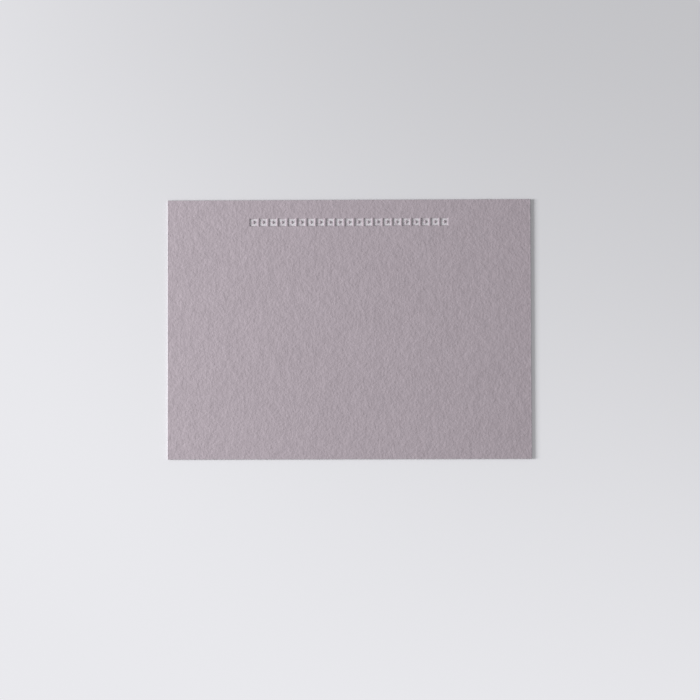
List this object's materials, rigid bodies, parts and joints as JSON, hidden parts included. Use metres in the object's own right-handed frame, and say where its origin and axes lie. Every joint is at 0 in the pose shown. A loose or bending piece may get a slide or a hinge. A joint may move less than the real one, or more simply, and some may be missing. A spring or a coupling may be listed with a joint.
{
  "type": "note card",
  "caption": "Flat rectangular note card of thick soft cotton stock, square corners, with a row of small ornament pressed into the front below its top edge.",
  "frame": {"origin": "middle of the plain back, on the surface that the card lies on", "axes": "+X to the right along the long edge, +Y towards the top edge, which the ornament runs along, +Z out of the printed front"},
  "size_m": [0.1778, 0.127, 0.0009],
  "materials": {
    "card_stock": "matte"
  },
  "bodies": {
    "root": {"note_card": "card_stock"}
  },
  "joints": []
}
